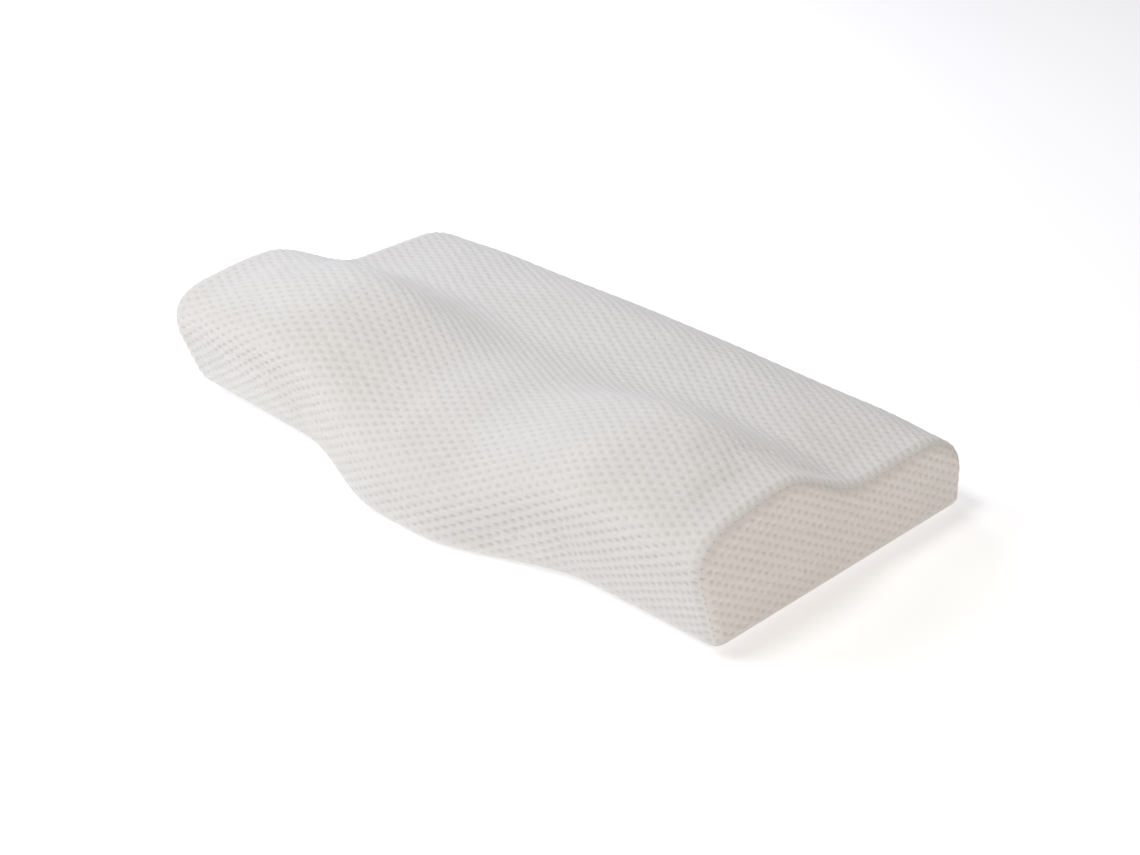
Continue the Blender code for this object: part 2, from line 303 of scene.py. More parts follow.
def grid_normals(p):
    """Outward normals of a grid of closed rings."""
    n = np.cross(np.gradient(p, axis=0), np.roll(p, -1, 1) - np.roll(p, 1, 1))
    return n / np.maximum(np.linalg.norm(n, axis=2), 1e-12)[:, :, None]


def hashed(a, b):
    """A repeatable number from 0 to 1 for each pair of whole numbers."""
    return np.modf(np.abs(np.sin(a * 12.9898 + b * 78.233) * 43758.5453))[0]


def bubbles(u, v):
    """1 at the dimples of the staggered grid and -1 half way between them."""
    return np.cos(math.pi * u / CELLS) * np.cos(2 * math.pi * v / CELLS)


def dimples(u, v, step_u, step_v):
    """Depth from 0 to 1 of the staggered dimples. u and v count mesh steps of the given size."""
    total = np.zeros_like(u)
    for shift_u, shift_v in ((0.0, 0.0), (CELLS, CELLS / 2.0)):
        a = np.round((u - shift_u) / (2 * CELLS))
        b = np.round((v - shift_v) / CELLS)
        du = (u - shift_u - 2 * CELLS * a) * step_u
        dv = (v - shift_v - CELLS * b) * step_v
        strength = 0.82 + 0.36 * hashed(2 * a + (shift_u > 0), b + 7.0)
        total += strength * np.exp(-0.5 * ((du / DIMPLE_SIGMA[0]) ** 2 + (dv / DIMPLE_SIGMA[1]) ** 2))
    return total


# ---------------------------------------------------------------- the fabric pulled tight over the foam
def puffed_cover(rows):
    """Inflates a slightly smaller copy of the skin as cloth. Returns its rest points and each one's move."""
    cols = len(rows[0])
    verts = np.vstack(rows)
    faces = [tuple(f) for f in grid_faces(len(rows), cols)]
    faces.append(tuple(range(cols)))
    faces.append(tuple(reversed(range((len(rows) - 1) * cols, len(rows) * cols))))
    obj = mesh_object("puff", verts, faces)
    remesh = obj.modifiers.new("voxels", "REMESH")
    remesh.mode = "VOXEL"
    remesh.voxel_size = VOXEL
    flat = obj.modifiers.new("even", "SMOOTH")
    flat.iterations = 4
    dg = bpy.context.evaluated_depsgraph_get()
    mesh = bpy.data.meshes.new_from_object(obj.evaluated_get(dg))
    obj.modifiers.clear()
    obj.data = mesh
    rest = np.zeros(len(mesh.vertices) * 3)
    mesh.vertices.foreach_get("co", rest)
    rest = rest.reshape(-1, 3)
    end = np.abs(rest[:, 0]) / (1.0 - END_TAPER * rest[:, 1])
    rim = (end > HALF - 0.016) & (end < HALF - 0.004)
    held = rim | (rest[:, 2] < 0.006)
    group = obj.vertex_groups.new(name="held")
    group.add([int(i) for i in np.nonzero(held)[0]], 1.0, "REPLACE")
    cloth = obj.modifiers.new("cloth", "CLOTH")
    s = cloth.settings
    s.quality = 5
    s.mass = 0.25
    s.tension_stiffness = 25.0
    s.compression_stiffness = 25.0
    s.shear_stiffness = 10.0
    s.bending_stiffness = 1.0
    s.use_pressure = True
    s.uniform_pressure_force = PRESSURE
    s.vertex_group_mass = "held"
    s.effector_weights.gravity = 0.0
    cloth.collision_settings.use_collision = False
    cloth.collision_settings.use_self_collision = False
    scene = bpy.context.scene
    for f in range(1, FRAMES + 1):
        scene.frame_set(f)
    done = obj.evaluated_get(bpy.context.evaluated_depsgraph_get())
    moved = np.zeros(len(rest) * 3)
    done.data.vertices.foreach_get("co", moved)
    move = moved.reshape(-1, 3) - rest
    size = np.linalg.norm(move, axis=1)
    move *= np.minimum(1.0, PUFF_CAP / np.maximum(size, 1e-9))[:, None]
    bpy.data.objects.remove(obj)
    scene.frame_set(1)
    return rest, move


class Puff:
    """How far the inflated fabric stands off the contour, at any point of the skin."""

    def __init__(self, rest, move):
        self.tree = KDTree(len(rest))
        for i, p in enumerate(rest):
            self.tree.insert(p, i)
        self.tree.balance()
        self.move = move

    def along(self, points, normals):
        """The move of each point along its normal."""
        out = np.zeros(len(points))
        for k, (p, n) in enumerate(zip(points, normals)):
            near = self.tree.find_n(p, 7)
            w = np.array([1.0 / (d * d + 9e-6) for _, _, d in near])
            m = self.move[[i for _, i, _ in near]]
            out[k] = (w[:, None] * m).sum(0) @ n / w.sum()
        return out


def offset_of(puff, points, normals, fade):
    """Signed stand-off of the fabric at each point, faded to nothing at the seams and the base."""
    if puff is None:
        return np.zeros(len(points))
    live = fade > 0.0
    out = np.zeros(len(points))
    out[live] = puff.along(points[live], normals[live])
    out -= PUFF_MEAN
    return np.clip(out, *PUFF_RANGE) * fade


# ---------------------------------------------------------------- cover: the wrap
step_x = COLUMN / CELLS
step_s = PITCH / CELLS
middle_cells = 2 * round(SLOT_X / step_x)
end_cells = round((HALF - END_R - SLOT_X) / step_x)
over_length = np.mean([length(section(x, 3)[0]) for x in np.linspace(0.0, HALF - END_R, 9)])
under_length = length(section(0.1, 3)[1])
base_length = length(section(0.1, 3)[2])
counts = [round(over_length / step_s), SLOT_CELLS, round(under_length / step_s)]
counts.append(round(base_length / (2 * step_s)))
turn = counts[0] + counts[1] + counts[2] + 2 * counts[3]
counts[0] += (-turn) % CELLS            # the dimples meet where the ring closes
columns = sum(counts)
upright = sum(counts[:3])                # steps down to the heel; those of the base are twice as long
v_of = np.concatenate([np.arange(upright), upright + 2 * np.arange(counts[3])]).astype(float)

past_slot = SLOT_X + (HALF - END_R - SLOT_X) * np.arange(1, end_cells + 1) / end_cells
right = np.concatenate([np.linspace(0.0, SLOT_X, middle_cells // 2 + 1), past_slot])
stations = np.concatenate([-right[:0:-1], right])
u_of = np.arange(len(stations)) - (len(stations) - 1) / 2.0
rings = [ring_at(float(x), counts) for x in stations]
round_angles = np.r_[np.linspace(0.0, WRAP_HEM - BRINK, 6)[1:], WRAP_HEM]
ROUND_ROWS = len(round_angles)


def wrap_side(side):
    """The rows past the last station: over the rounding, and turned in at the seam."""
    ring = rings[-1] if side > 0 else rings[0]
    rows = [on_end(side, ring, a, 0.0) for a in round_angles]
    return rows + [on_end(side, ring, a, d) for a, d in HEMS]


body_rows = [place(x, ring) for x, ring in zip(stations, rings)]
wrap = np.stack(wrap_side(-1.0)[::-1] + body_rows + wrap_side(1.0))
extra = ROUND_ROWS + len(HEMS)
round_steps = round_angles * END_R / step_x
beyond = np.concatenate([round_steps, round_steps[-1] + np.arange(1, len(HEMS) + 1) * 0.3])
u_all = np.concatenate([u_of[0] - beyond[::-1], u_of, u_of[-1] + beyond])
normals = grid_normals(wrap)
turned_in = len(HEMS) + 1               # the hem moves with the fabric beside it
normals[:turned_in] = normals[turned_in]
normals[-turned_in:] = normals[-turned_in - 1]

puff = None
PUFF_MEAN = 0.0
start = shell_rows(START_IN, 100, (110, 2, 6, 44), [math.radians(a) for a in (30.0, 60.0, 90.0)])
puff = Puff(*puffed_cover(list(start)))
flat_points = wrap[::6, ::6].reshape(-1, 3)
flat_normals = normals[::6, ::6].reshape(-1, 3)
seen = flat_points[:, 2] > 0.03
PUFF_MEAN = float(puff.along(flat_points[seen], flat_normals[seen]).mean())

seam_gap = (len(stations) - 1) / 2.0 + round_steps[-1] - np.abs(u_all)   # steps to the seam
fade = smooth_all(seam_gap * step_x / 0.030)[:, None] * smooth_all(wrap[:, :, 2] / 0.016)
near_zip = smooth_all((np.abs(wrap[:, :, 2] - ZIP_Z) - 0.008) / 0.012) + (wrap[:, :, 1] < 0.12)
fade = fade * np.clip(near_zip, 0.0, 1.0)
lift = offset_of(puff, wrap.reshape(-1, 3), normals.reshape(-1, 3), fade.ravel()).reshape(fade.shape)
for _ in range(6):
    sides = np.roll(lift, 1, 1) + np.roll(lift, -1, 1) + np.roll(lift, 1, 0) + np.roll(lift, -1, 0)
    lift = 0.5 * lift + 0.125 * sides
lift[: extra // 2] = 0.0
lift[-(extra // 2) :] = 0.0

# the dimples, the gathers at the end seams and the shallow channel along the closure's stitching
u_grid = np.repeat(u_all[:, None], columns, 1)
v_grid = np.repeat(v_of[None, :], len(u_all), 0)
deep = dimples(u_grid, v_grid, step_x, step_s)
hem = np.clip(seam_gap / 1.3, 0.0, 1.0)[:, None]
deep = deep * hem


def gathers(side, ring):
    """1 at points of (y, z) that a stitch of an end seam pulls in, and 0 half way between stitches."""
    own = rings[-1] if side > 0 else rings[0]
    step = np.arange(columns * 8) / 8.0
    loop = np.vstack([own, own[:1]])
    v_loop = np.r_[v_of, v_of[-1] + 2.0]
    dense = np.stack([np.interp(step, np.arange(columns + 1), loop[:, k]) for k in (0, 1)], 1)
    v_dense = np.interp(step, np.arange(columns + 1), v_loop)
    nearest = ((ring[:, None] - dense[None]) ** 2).sum(2).argmin(1)
    return (0.5 + 0.5 * np.cos(2.0 * math.pi * v_dense[nearest] / CELLS)) ** 3


pucker = np.where(u_all[:, None] < 0, gathers(-1.0, rings[0])[None], gathers(1.0, rings[-1])[None])
pucker = pucker * np.exp(-((np.maximum(seam_gap, 0.0)[:, None] * step_x / GATHER_REACH[0]) ** 2))
front = 1.0 + FRONT_RELIEF * smooth_all((-normals[:, :, 1] - 0.15) / 0.5)
sink = front * (DIMPLE_DEPTH * deep + BUBBLE * bubbles(u_grid, v_grid) * hem) + GATHER * pucker
on_back = wrap[:, :, 1] > 0.15
from_line = np.abs(wrap[:, :, 2] - ZIP_Z) - SLOT_HALF - STITCH_LINE
channel = np.exp(-((from_line / 0.0012) ** 2)) * on_back
inside_x = (np.abs(wrap[:, :, 0]) < SLOT_X + 0.002).astype(float)
sink = sink + 0.00045 * channel * inside_x
sink = (sink - STAND_OFF * hem) * smooth_all((wrap[:, :, 2] - 0.002) / 0.012)
skin = wrap + normals * (lift - sink)[:, :, None]
skin[:, :, 2] = np.maximum(skin[:, :, 2], 0.0)      # pressed flat where the pillow lies on its base

first_slot = extra + int(end_cells)
last_slot = first_slot + middle_cells
slot_from = counts[0]


def in_slot(i, j):
    return (j >= slot_from) & (j < slot_from + SLOT_CELLS) & (i >= first_slot) & (i < last_slot)


cover = mesh_object("cover_wrap_knit", skin.reshape(-1, 3), grid_faces(len(skin), columns, skip=in_slot))
full_turn = (v_of[-1] + 2.0) / CELLS
add_uv(cover, np.stack([u_grid.ravel(), v_grid.ravel()], 1) / CELLS, closed=(columns, full_turn))
bm = bmesh.new()
bm.from_mesh(cover.data)
loose = [v for v in bm.verts if not v.link_faces]
bmesh.ops.delete(bm, geom=loose, context="VERTS")
rim = [e for e in bm.edges if e.is_boundary and all(abs(v.co.x) < SLOT_X * 1.03 for v in e.verts)]
for inward, spread in ((0.0009, 0.0), (0.0010, 0.0003)):
    out = bmesh.ops.extrude_edge_only(bm, edges=rim)
    made = [g for g in out["geom"] if isinstance(g, bmesh.types.BMVert)]
    for v in made:
        v.co.y -= inward
        v.co.z += spread * (1.0 if v.co.z > ZIP_Z else -1.0)
    rim = [g for g in out["geom"] if isinstance(g, bmesh.types.BMEdge)]
bm.to_mesh(cover.data)
bm.free()
cover.data.polygons.foreach_set("use_smooth", [True] * len(cover.data.polygons))


# ---------------------------------------------------------------- cover: the end panels
def four_sides(side):
    """An end's ring split at the middle of its four corners: front, top, back and base."""
    over, under, base = section(side * (HALF - END_R))
    n_c = 3 * FINE // 2
    n_top = 3 * FINE + 1 + 3 * FINE
    back_corner = len(over) - 2 - 2 * FINE
    front = over[n_c : n_top + 1]
    top = over[n_top : back_corner + 1]
    back = np.vstack([over[back_corner:], under[: 1 + n_c + 1]])
    bottom = np.vstack([under[1 + n_c :], base, over[: n_c + 1]])
    return front, top, back, bottom


def along(line, steps):
    d = np.r_[0.0, np.cumsum(np.linalg.norm(np.diff(line, axis=0), axis=1))]
    at = np.linspace(0.0, d[-1], steps + 1)
    return np.stack([np.interp(at, d, line[:, k]) for k in range(line.shape[1])], 1)


def panel_ring(side):
    lines = zip(four_sides(side), (PANEL_V, PANEL_U, PANEL_V, PANEL_U))
    return np.vstack([along(line, n)[:-1] for line, n in lines])


def panel_relief(yz):
    """How far the dimpled fabric of an end panel stands out at lattice places (y, z)."""
    across, up = yz @ np.array(PANEL_G[0]), yz @ np.array(PANEL_G[1])
    deep = dimples(across * CELLS, up * CELLS, 0.0072 / CELLS, 0.0092 / CELLS)
    rise = STAND_OFF - PANEL_RELIEF * (DIMPLE_DEPTH * deep + BUBBLE * bubbles(across * CELLS, up * CELLS))
    return rise * smooth_all((yz[:, 1] - 0.002) / 0.010)


def unfolded(row, ring, angle):
    """A row of an end's rounding without the loops that a corner tighter than its inset would tie in it."""
    depth = END_R * (1.0 - math.cos(angle))
    yz = row[:, 1:].copy()
    gap = np.sqrt(((yz[:, None] - ring[None]) ** 2).sum(2).min(1))
    good = np.nonzero(gap > 0.985 * depth)[0]
    if len(good) == len(yz):
        return row
    index = np.arange(len(yz))
    yz = np.stack([np.interp(index, good, yz[good, k], period=len(yz)) for k in (0, 1)], 1)
    near_bad = np.zeros(len(yz))
    near_bad[np.setdiff1d(index, good)] = 1.0
    for _ in range(12):
        near_bad = np.maximum(near_bad, 0.85 * np.maximum(np.roll(near_bad, 1), np.roll(near_bad, -1)))
    for _ in range(30):
        yz += 0.5 * near_bad[:, None] * (0.5 * (np.roll(yz, 1, 0) + np.roll(yz, -1, 0)) - yz)
    x = row[:, 0] / (1.0 - END_TAPER * row[:, 1])
    return np.stack([x * (1.0 - END_TAPER * yz[:, 0]), yz[:, 0], yz[:, 1]], 1)


def end_panel(side, name):
    """Rim rows from the seam to the flat face, then a patch across the face."""
    ring = panel_ring(side)
    n = len(ring)
    rows = [on_end(side, ring, a, d) for a, d in PANEL_HEMS]
    angles = np.r_[PANEL_HEM, np.linspace(PANEL_HEM + BRINK, math.pi / 2, RIM_STEPS + 1)]
    rows += [unfolded(on_end(side, ring, a, 0.0), ring, a) for a in angles]
    edge_yz = rows[-1][:, 1:]
    f = edge_yz[: PANEL_V + 1]
    t = edge_yz[PANEL_V : PANEL_V + PANEL_U + 1]
    b = edge_yz[PANEL_V + PANEL_U : 2 * PANEL_V + PANEL_U + 1][::-1]
    low = np.vstack([edge_yz[2 * PANEL_V + PANEL_U :], edge_yz[:1]])[::-1]
    u = np.linspace(0.0, 1.0, PANEL_U + 1)[:, None, None]
    v = np.linspace(0.0, 1.0, PANEL_V + 1)[None, :, None]
    patch = (1 - v) * low[:, None] + v * t[:, None] + (1 - u) * f[None] + u * b[None]
    patch = patch - ((1 - u) * (1 - v) * low[0] + (1 - u) * v * t[0] + u * (1 - v) * low[-1] + u * v * t[-1])
    yz = patch.reshape(-1, 2)
    x = side * HALF * (1.0 - END_TAPER * yz[:, 0])
    points = np.stack([x, yz[:, 0], yz[:, 1]], 1)
    # distance from the rim, in steps of the patch
    iu, iv = np.meshgrid(np.arange(PANEL_U + 1), np.arange(PANEL_V + 1), indexing="ij")
    gap = np.minimum(np.minimum(iu, PANEL_U - iu) * 0.0013, np.minimum(iv, PANEL_V - iv) * 0.0012).ravel()
    outward = np.tile([side, 0.0, 0.0], (len(points), 1))
    fade = smooth_all(gap / 0.022)
    if puff is None:
        bulge = QUICK_BULGE * fade
    else:
        bulge = (np.clip(puff.along(points, outward) - PUFF_MEAN, *END_PUFF_RANGE) + END_STAND_OFF) * fade
    grid = bulge.reshape(PANEL_U + 1, PANEL_V + 1)
    for _ in range(10):
        beside = grid[2:, 1:-1] + grid[:-2, 1:-1] + grid[1:-1, 2:] + grid[1:-1, :-2]
        grid[1:-1, 1:-1] = 0.5 * grid[1:-1, 1:-1] + 0.125 * beside
    points[:, 0] += side * (grid.ravel() + panel_relief(points[:, 1:]))
    # edge of the patch, in ring order
    order = [(0, k) for k in range(PANEL_V)] + [(k, PANEL_V) for k in range(PANEL_U)]
    order += [(PANEL_U, PANEL_V - k) for k in range(PANEL_V)] + [(PANEL_U - k, 0) for k in range(PANEL_U)]
    edge_index = np.array([i * (PANEL_V + 1) + j for i, j in order])
    rim_points = np.stack(rows[:-1])
    tuck = gathers(side, ring)
    # on the rounding the lattice runs on over the arc, and the gathers pull the fabric in at the seam
    t = np.roll(ring, -1, 0) - np.roll(ring, 1, 0)
    t /= np.linalg.norm(t, axis=1)[:, None]
    out_yz = np.stack([-t[:, 1], t[:, 0]], 1)
    lattice_yz = [edge_yz + out_yz * END_R * (math.pi / 2 - PANEL_HEM)] * len(PANEL_HEMS)
    for k, angle in enumerate(angles[:-1]):
        from_seam = END_R * (angle - PANEL_HEM)
        flat = edge_yz + out_yz * END_R * (math.pi / 2 - angle)
        lattice_yz.append(flat)
        pull = GATHER * tuck * math.exp(-((from_seam / GATHER_REACH[1]) ** 2))
        move = panel_relief(flat) * min(1.0, from_seam / 0.0025) - pull
        outward = np.column_stack([np.full(n, side * math.sin(angle)), out_yz * math.cos(angle)])
        rim_points[len(PANEL_HEMS) + k] += outward * move[:, None]
        if k == 0:
            rim_points[: len(PANEL_HEMS)] += outward * move[:, None]
    count = len(points)
    verts = np.vstack([points, rim_points.reshape(-1, 3)])
    verts[:, 2] = np.maximum(verts[:, 2], 0.0)
    patch_faces = grid_faces(PANEL_U + 1, PANEL_V + 1, closed=False)
    rim_faces = []
    chain = [count + k * n + np.arange(n) for k in range(len(rim_points))] + [edge_index]
    for lower, upper in zip(chain, chain[1:]):
        rim_faces.append(np.stack([lower, upper, np.roll(upper, -1), np.roll(lower, -1)], 1))
    rim_faces = np.vstack(rim_faces)
    patch_faces = patch_faces if side > 0 else patch_faces[:, ::-1]
    rim_faces = rim_faces if side > 0 else rim_faces[:, ::-1]
    obj = mesh_object(name, verts, np.vstack([patch_faces, rim_faces]))
    add_uv(obj, np.vstack([points[:, 1:], *lattice_yz]) @ np.array(PANEL_G).T)
    return obj


# ---------------------------------------------------------------- inner layers
INNER = (84, 2, 4, 24)
LINER_END_ANGLES = (PANEL_EDGE, math.radians(52.0), math.radians(71.0), math.pi / 2)
foam_rows = shell_rows(FOAM_IN, 90, INNER, [math.radians(a) for a in (22.5, 45.0, 67.5, 90.0)])
cols = foam_rows.shape[1]
faces = [tuple(f) for f in grid_faces(len(foam_rows), cols)]
faces.append(tuple(range(cols)))
faces.append(tuple(reversed(range((len(foam_rows) - 1) * cols, len(foam_rows) * cols))))
foam = mesh_object("memory_foam_body", foam_rows.reshape(-1, 3), faces)

liner_rows = shell_rows(LINER_IN, 90, INNER, [WRAP_EDGE / 2, WRAP_EDGE])
liner = mesh_object("liner_wrap_jersey", liner_rows.reshape(-1, 3), grid_faces(len(liner_rows), cols))


def liner_end(side, name):
    ring = ring_at(side * (HALF - END_R), INNER, 3)
    rows = [on_end(side, ring, a, LINER_IN) for a in LINER_END_ANGLES]
    edge = rows[-1]
    middle = edge.mean(axis=0)
    for share in (0.92, 0.8):
        inner = edge.copy()
        inner[:, 1:] = middle[1:] + (inner[:, 1:] - middle[1:]) * share
        inner[:, 0] = side * (HALF - LINER_IN) * (1.0 - END_TAPER * inner[:, 1])
        rows.append(inner)
    edge[:, 0] = side * (HALF - LINER_IN) * (1.0 - END_TAPER * edge[:, 1])
    verts = np.stack(rows).reshape(-1, 3)
    faces = [tuple(f) for f in grid_faces(len(rows), cols)]
    faces.append(tuple(reversed(range((len(rows) - 1) * cols, len(rows) * cols))))
    if side < 0:
        faces = [tuple(reversed(f)) for f in faces]
    return mesh_object(name, verts, faces)


# ---------------------------------------------------------------- threads and closure
def capsule_rows(a, b, radius, up, sides=8):
    """Rings of a rounded stitch from a to b that arches slightly along up."""
    a, b, up = np.array(a), np.array(b), np.array(up)
    axis = b - a
    size = np.linalg.norm(axis)
    axis = axis / size
    across = np.cross(axis, up)
    across /= np.linalg.norm(across)
    up = np.cross(across, axis)
    rings = []
    for t in np.linspace(0.0, 1.0, 7):
        centre = a + axis * size * t + up * radius * 0.7 * math.sin(math.pi * t)
        r = radius * math.sqrt(max(1.0 - (2 * t - 1) ** 4, 0.02))
        angle = np.arange(sides) * 2 * math.pi / sides
        rings.append(centre + r * (np.cos(angle)[:, None] * across + np.sin(angle)[:, None] * up))
    return rings


def stitch_mesh(name, stitches):
    verts, faces = [], []
    for a, b, radius, up in stitches:
        rings = capsule_rows(a, b, radius, up)
        n = len(rings[0])
        base = len(verts)
        for ring in rings:
            verts.extend(ring)
        for i in range(len(rings) - 1):
            low, high = base + i * n, base + (i + 1) * n
            for j in range(n):
                k = (j + 1) % n
                faces.append((low + j, low + k, high + k, high + j))
        faces.append(tuple(base + j for j in reversed(range(n))))
        faces.append(tuple(base + (len(rings) - 1) * n + j for j in range(n)))
    return mesh_object(name, verts, faces)


STITCH_REACH = math.radians(5.5)    # to each side of the valley, round the end's rounding
STITCH_SUNK = 0.0007


def seam_stitches(side, name):
    """Short slanting stitches across the valley between the wrap and an end panel, one at each gather."""
    ring = rings[-1] if side > 0 else rings[0]
    near = on_end(side, ring, VALLEY - STITCH_REACH, STITCH_SUNK)
    far = on_end(side, ring, VALLEY + STITCH_REACH, STITCH_SUNK)
    out = []
    for j in np.nonzero(v_of % CELLS == 0)[0]:
        after = (j + 1) % len(ring)
        tangent = ring[after] - ring[j - 1]
        tangent /= np.linalg.norm(tangent)
        across = np.array([-tangent[1], tangent[0]]) * math.cos(VALLEY)
        outward = np.array([side * math.sin(VALLEY), *across])
        ends = mix(near[j], near[j - 1], 0.35), mix(far[j], far[after], 0.35)
        out.append((*ends, SEAM_THREAD_R, outward))
    return stitch_mesh(name, out)


def coil(name, side):
    """One side's run of looped teeth, half a pitch out of step with the other side's."""
    pitch, wire, overlap, margin = 0.0014, 0.00033, 0.00045, 0.0004
    turns = int((2 * COIL_X - 0.001) / pitch)
    per = 10
    total = turns * per
    reach = COIL_H + GAP / 2 - wire
    mid = (reach - overlap) / 2
    half_z = (reach + overlap) / 2
    half_y = COIL_T / 2 - wire
    t = np.arange(total + 1) / per * 2 * math.pi
    x = -COIL_X + 2 * margin + t / (2 * math.pi) * pitch + (pitch / 2 if side < 0 else 0.0)
    x = np.clip(x, -COIL_X + margin, COIL_X - margin)
    y = BACK_Y - COVER_T + COIL_T / 2 + half_y * np.sin(t)
    z = ZIP_Z + side * (mid - half_z * np.cos(t))
    path = np.stack([x, y, z], 1)
    tangent = np.gradient(path, axis=0)
    tangent /= np.linalg.norm(tangent, axis=1)[:, None]
    ref = np.tile([1.0, 0.0, 0.0], (len(path), 1))
    n1 = np.cross(tangent, ref)
    n1 /= np.linalg.norm(n1, axis=1)[:, None]
    n2 = np.cross(tangent, n1)
    sides = 6
    angle = np.arange(sides) * 2 * math.pi / sides
    round_wire = np.cos(angle)[None, :, None] * n1[:, None] + np.sin(angle)[None, :, None] * n2[:, None]
    tube = path[:, None] + wire * round_wire
    faces = [tuple(f) for f in grid_faces(len(path), sides)]
    faces.append(tuple(range(sides)))
    faces.append(tuple(reversed(range((len(path) - 1) * sides, len(path) * sides))))
    return mesh_object(name, tube.reshape(-1, 3), faces)


def tape(name, side):
    """A woven tape: thicker along the edge that carries the teeth, with rounded outer edge."""
    steps_x = 206
    z_steps = [0.0, 0.0003, 0.0009, 0.0016, 0.0026, 0.0036, 0.0050, 0.0064, 0.0078, 0.0087, TAPE_H]
    half_t = TAPE_T / 2 * np.array([0.55, 1.0, 1.0, 0.85, 0.7, 0.7, 0.7, 0.7, 0.7, 0.85, 0.4])
    y0 = BACK_Y - COVER_T - GAP - TAPE_T / 2
    xs = np.linspace(-TAPE_X, TAPE_X, steps_x + 1)
    z = ZIP_Z + side * (GAP / 2 + np.array(z_steps))
    loop_z = np.concatenate([z, z[::-1]])
    loop_y = np.concatenate([half_t, -half_t[::-1]])
    ripple = 0.00004 * np.sin(xs * 2 * math.pi / 0.0041)
    n = len(loop_z)
    rows = []
    for k, (x, r) in enumerate(zip(xs, ripple)):
        y = y0 + loop_y * (0.9 + 0.1 * math.sin(k * 1.7)) + r * 0.3
        rows.append(np.stack([np.full(n, x), y, loop_z], 1))
    verts = np.stack(rows).reshape(-1, 3)
    faces = [tuple(f) for f in grid_faces(len(rows), n)]
    faces.append(tuple(range(n)))
    faces.append(tuple(reversed(range((len(rows) - 1) * n, len(rows) * n))))
    if side > 0:
        faces = [tuple(reversed(f)) for f in faces]
    return mesh_object(name, verts, faces)


def zip_stitches(name, side):
    """Lockstitches just outside the edge of the slot."""
    pitch, long, radius, proud = 0.0032, 0.0023, 0.00024, 0.00002
    z = ZIP_Z + side * (SLOT_HALF + STITCH_LINE)
    y = BACK_Y + proud
    count = int(2 * SLOT_X / pitch)
    first = -count * pitch / 2
    out = []
    for k in range(count):
        x = first + k * pitch
        out.append(((x, y, z), (x + long, y, z), radius, (0.0, 1.0, 0.0)))
    return stitch_mesh(name, out)


# ---------------------------------------------------------------- materials
class Shader:
    """A node material with a Principled shader."""

    def __init__(self, name, roughness, **settings):
        self.mat = bpy.data.materials.new(name)
        self.mat.use_nodes = True
        self.tree = self.mat.node_tree
        self.bsdf = self.tree.nodes["Principled BSDF"]
        self.bsdf.inputs["Roughness"].default_value = roughness
        for key, value in settings.items():
            self.bsdf.inputs[key.replace("_", " ")].default_value = value

    def node(self, kind, inputs=None, **attrs):
        n = self.tree.nodes.new(kind)
        for key, value in attrs.items():
            setattr(n, key, value)
        for key, value in (inputs or {}).items():
            self.put(n.inputs[key], value)
        return n

    def put(self, socket, value):
        if isinstance(value, bpy.types.NodeSocket):
            self.tree.links.new(value, socket)
        else:
            socket.default_value = value

    def math(self, operation, a, b=0.0, c=0.0):
        return self.node("ShaderNodeMath", {0: a, 1: b, 2: c}, operation=operation).outputs[0]

    def blend(self, factor, a, b, mode="MIX"):
        n = self.node("ShaderNodeMix", data_type="RGBA", blend_type=mode)
        self.put(n.inputs[0], factor)
        self.put(n.inputs[6], a)
        self.put(n.inputs[7], b)
        return n.outputs[2]

    def noise(self, scale, detail=2.0):
        tex = self.node("ShaderNodeTexCoord")
        sockets = {"Vector": tex.outputs["Object"], "Scale": scale, "Detail": detail}
        return self.node("ShaderNodeTexNoise", sockets).outputs[0]

    def ramp(self, value, low, high, out_low=0.0, out_high=1.0):
        limits = {"From Min": low, "From Max": high, "To Min": out_low, "To Max": out_high}
        n = self.node("ShaderNodeMapRange", {"Value": value, **limits})
        n.interpolation_type = "SMOOTHSTEP"
        return n.outputs[0]

    def bump(self, layers):
        """layers of (height, depth in metres), laid over each other."""
        normal = None
        for height_socket, distance in layers:
            n = self.node("ShaderNodeBump", {"Height": height_socket, "Distance": distance, "Strength": 1.0})
            if normal is not None:
                self.put(n.inputs["Normal"], normal)
            normal = n.outputs[0]
        self.put(self.bsdf.inputs["Normal"], normal)

    def colour(self, socket):
        self.put(self.bsdf.inputs["Base Color"], socket)
        return self.mat


DIMPLE_RADII = (0.0003, 0.0027)     # full depth and darkest painted shade within the first, none beyond the second
DIMPLE_WIDEN = 0.78                 # under 1: dimples are longer along the pillow than round it


def dimple_mask(s, u, v):
    """1 in the middle of each dimple, 0 between them, from lattice coordinates."""
    found = None
    for du, dv in ((0.0, 0.0), (1.0, 0.5)):
        wu = s.math("WRAP", s.math("SUBTRACT", u, du), 1.0, -1.0)
        wv = s.math("WRAP", s.math("SUBTRACT", v, dv), 0.5, -0.5)
        wu = s.math("MULTIPLY", wu, COLUMN * DIMPLE_WIDEN)
        wv = s.math("MULTIPLY", wv, PITCH)
        d = s.math("SQRT", s.math("ADD", s.math("MULTIPLY", wu, wu), s.math("MULTIPLY", wv, wv)))
        found = d if found is None else s.math("MINIMUM", found, d)
    inner, outer = DIMPLE_RADII
    return s.ramp(found, outer, inner)


